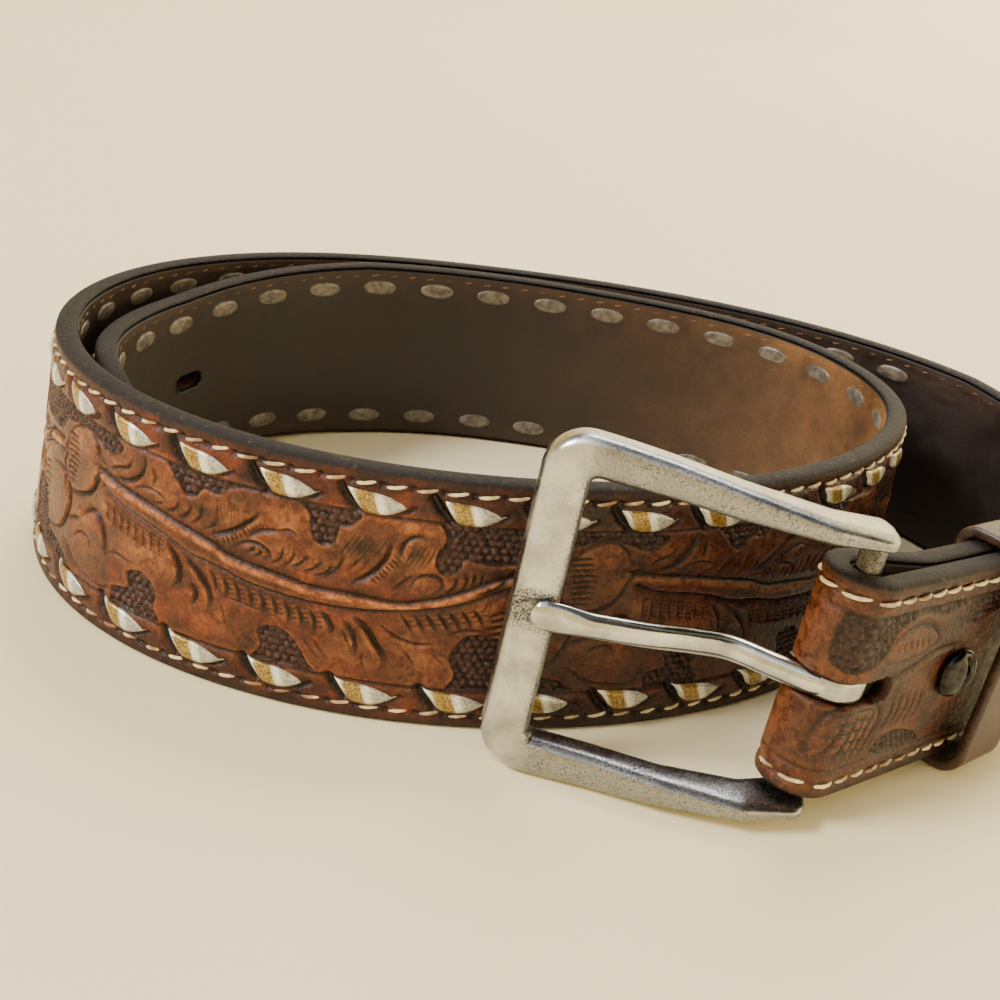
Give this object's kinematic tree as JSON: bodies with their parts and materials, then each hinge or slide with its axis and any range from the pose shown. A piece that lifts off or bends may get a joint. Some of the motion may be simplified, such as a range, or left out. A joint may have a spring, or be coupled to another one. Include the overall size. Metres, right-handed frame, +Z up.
{
  "type": "belt",
  "caption": "Tooled leather belt with laced edges, coiled and standing on its lower edge, with a buckle, prong and keeper.",
  "frame": {"origin": "on the floor, below the middle of the coil's bounding box", "axes": "+Z up; +X to the right of the tooled front run as seen from the front; -Y towards the viewer"},
  "size_m": [0.2142, 0.1588, 0.0586],
  "materials": {
    "leather_tooled": "satin, tooled and antiqued",
    "leather_lining": "matt, worn",
    "leather_keeper": "satin with raw edges",
    "nickel": "worn nickel plate",
    "dark_nickel": "dark polished plate"
  },
  "bodies": {
    "strap": {"strap_tooled": "leather_tooled", "strap_lining": "leather_lining", "keeper_loop": "leather_keeper", "fold_screw": "dark_nickel", "flap_screw": "dark_nickel"},
    "frame": {"buckle_frame": "nickel"},
    "prong": {"buckle_prong": "nickel"}
  },
  "joints": [
    {"name": "frame_hinge", "type": "hinge", "parent": "strap", "child": "frame", "pos_m": [0.0433, -0.06795, 0.02474], "axis": [0.0528, 0.0453, 0.9976], "range_deg": [0, 60]},
    {"name": "prong_hinge", "type": "hinge", "parent": "frame", "child": "prong", "pos_m": [0.0433, -0.06795, 0.02474], "axis": [0.0528, 0.0453, 0.9976], "range_deg": [0, 60]}
  ]
}
